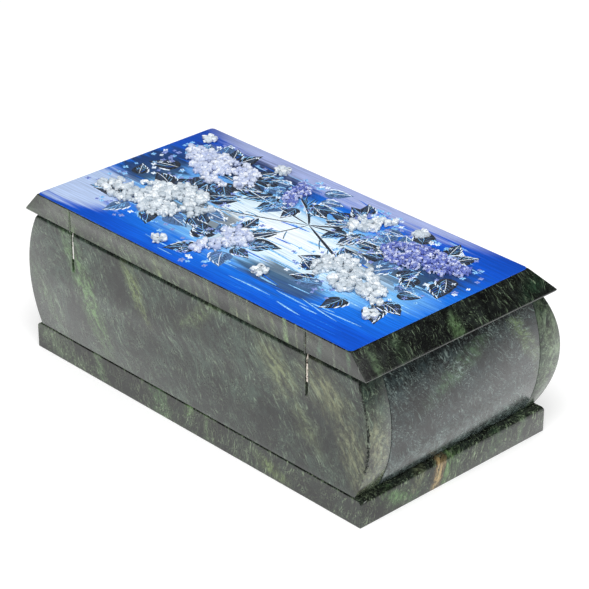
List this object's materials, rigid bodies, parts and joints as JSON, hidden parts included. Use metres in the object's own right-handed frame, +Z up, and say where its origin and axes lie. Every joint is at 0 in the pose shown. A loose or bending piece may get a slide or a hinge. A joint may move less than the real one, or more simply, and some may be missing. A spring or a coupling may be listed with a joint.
{
  "type": "stone box",
  "caption": "Rectangular serpentine box with bulging walls on a base plate and a bevelled, decorated lid that opens on two riveted leaf hinges set in saw kerfs.",
  "frame": {"origin": "on the surface that the box stands on, under the middle of its overall length and width", "axes": "+X along the length, towards the right end seen from the front; +Y towards the back, where the hinges are; +Z up"},
  "size_m": [0.1818, 0.0976, 0.0698],
  "materials": {
    "base_stone": "polished",
    "wall_stone": "polished",
    "lid_stone": "polished",
    "hinge_steel": "dull",
    "ground_paint": "semi-gloss paint",
    "white_chips": "crushed",
    "lavender_chips": "crushed",
    "violet_chips": "crushed"
  },
  "bodies": {
    "body": {"base_plate": "base_stone", "front_wall": "wall_stone", "back_wall": "wall_stone", "left_end_wall": "wall_stone", "right_end_wall": "wall_stone", "hinge_left_body_leaf": "hinge_steel", "hinge_left_rivet": "hinge_steel", "hinge_right_body_leaf": "hinge_steel", "hinge_right_rivet": "hinge_steel"},
    "lid": {"lid_slab": "lid_stone", "painted_ground": "ground_paint", "hinge_left_lid_leaf": "hinge_steel", "hinge_right_lid_leaf": "hinge_steel", "white_spray_right": "white_chips", "lavender_spray_right": "lavender_chips", "white_spray_left": "white_chips", "violet_spray_left": "violet_chips", "lavender_spray_back": "lavender_chips", "violet_spray_front": "violet_chips", "white_spray_front": "white_chips", "loose_floret_1": "white_chips", "loose_floret_2": "white_chips", "loose_floret_3": "white_chips", "loose_floret_4": "white_chips", "loose_floret_5": "white_chips", "loose_floret_6": "white_chips"}
  },
  "joints": [
    {"name": "lid_hinge", "type": "hinge", "parent": "body", "child": "lid", "pos_m": [0, 0.04645, 0.0556], "axis": [-1, 0, 0], "range_deg": [0, 95]}
  ]
}
